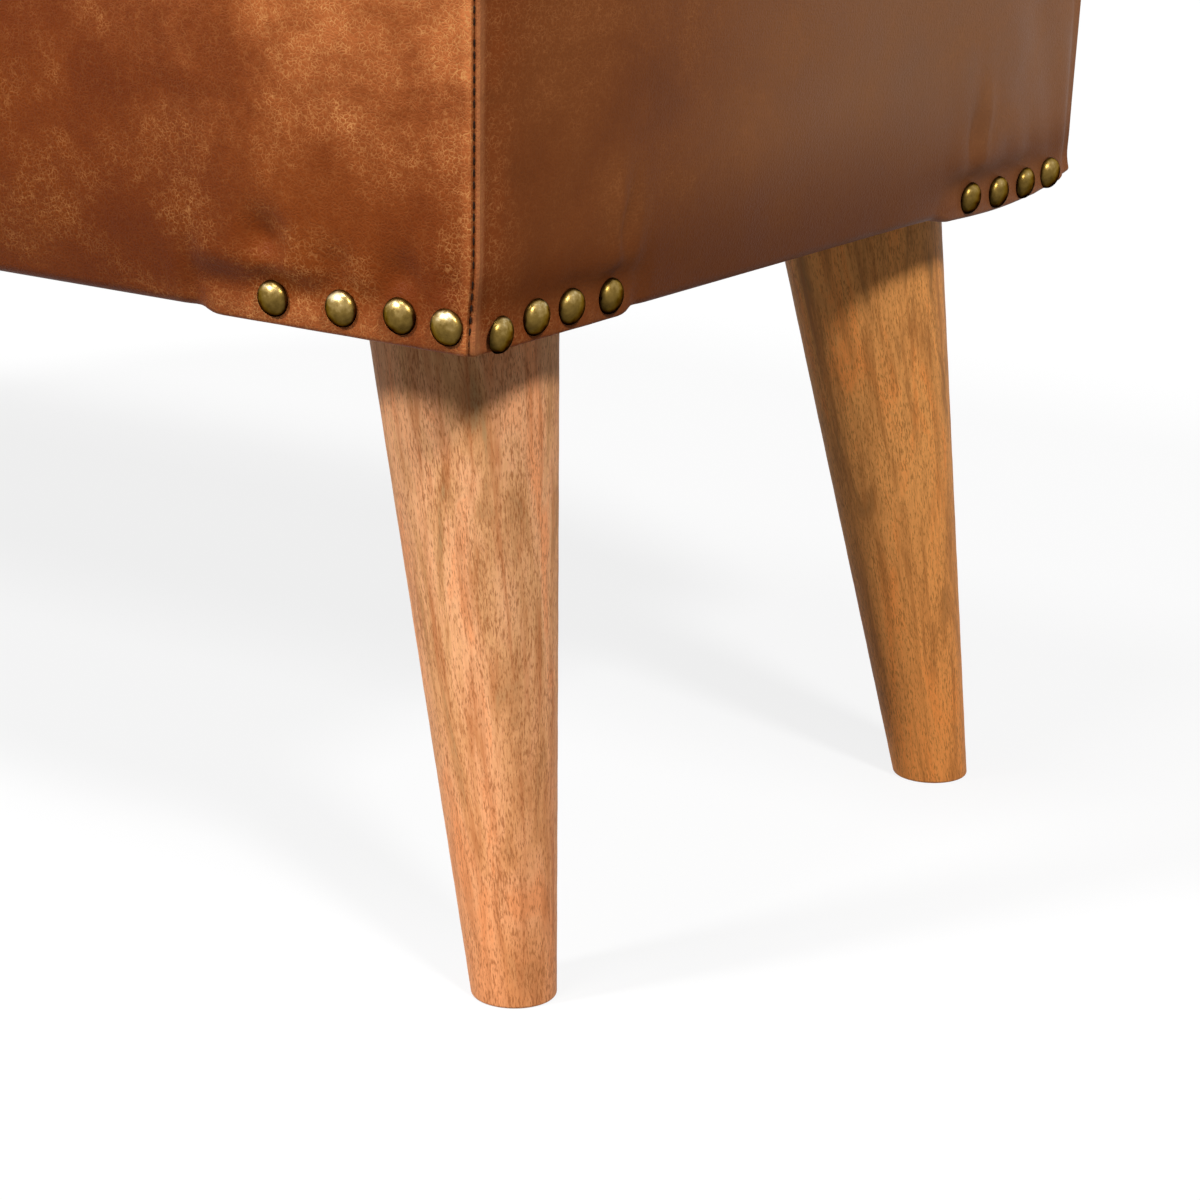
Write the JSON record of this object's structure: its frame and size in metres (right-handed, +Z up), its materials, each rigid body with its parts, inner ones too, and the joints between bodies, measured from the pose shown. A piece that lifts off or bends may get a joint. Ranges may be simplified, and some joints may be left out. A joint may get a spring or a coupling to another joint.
{
  "type": "upholstered bench",
  "caption": "Long leather-covered bench seat with domed brass nails at its lower corners, on splayed tapered wooden legs.",
  "frame": {"origin": "on the floor, under the middle of the seat", "axes": "+X along the bench to the right end, -Y out of the front, +Z up"},
  "size_m": [1.002, 0.402, 0.45],
  "materials": {
    "frame_timber": "planed softwood, unfinished",
    "plywood": "sanded plywood, unfinished",
    "leg_wood": "turned hardwood, clear satin lacquer",
    "zinc_steel": "bright zinc plate",
    "antique_brass": "antiqued and polished on the domes",
    "seat_leather": "waxed pull-up leather, satin",
    "seat_foam": "open-cell upholstery foam",
    "wadding": "bonded polyester wadding",
    "dust_cloth": "black non-woven dust cloth"
  },
  "bodies": {
    "root": {"front_rail": "frame_timber", "back_rail": "frame_timber", "left_end_rail": "frame_timber", "right_end_rail": "frame_timber", "left_cross_rail": "frame_timber", "right_cross_rail": "frame_timber", "corner_block_front_left": "frame_timber", "corner_block_front_right": "frame_timber", "corner_block_back_left": "frame_timber", "corner_block_back_right": "frame_timber", "seat_deck": "plywood", "leg_front_left": "leg_wood", "leg_front_right": "leg_wood", "leg_back_left": "leg_wood", "leg_back_right": "leg_wood", "frame_screws": "zinc_steel", "block_screws": "zinc_steel", "deck_screws": "zinc_steel", "hem_staples": "zinc_steel", "dust_cover_staples": "zinc_steel", "hanger_bolt_front_left": "zinc_steel", "hanger_bolt_front_right": "zinc_steel", "hanger_bolt_back_left": "zinc_steel", "hanger_bolt_back_right": "zinc_steel", "tee_nut_front_left": "zinc_steel", "tee_nut_front_right": "zinc_steel", "tee_nut_back_left": "zinc_steel", "tee_nut_back_right": "zinc_steel", "nails_front_left": "antique_brass", "nails_front_right": "antique_brass", "nails_back_left": "antique_brass", "nails_back_right": "antique_brass", "leather_top_panel": "seat_leather", "leather_front_panel": "seat_leather", "leather_back_panel": "seat_leather", "leather_left_end_panel": "seat_leather", "leather_right_end_panel": "seat_leather", "seat_foam": "seat_foam", "top_wadding": "wadding", "front_side_pad": "wadding", "back_side_pad": "wadding", "left_side_pad": "wadding", "right_side_pad": "wadding", "dust_cover": "dust_cloth"}
  },
  "joints": []
}
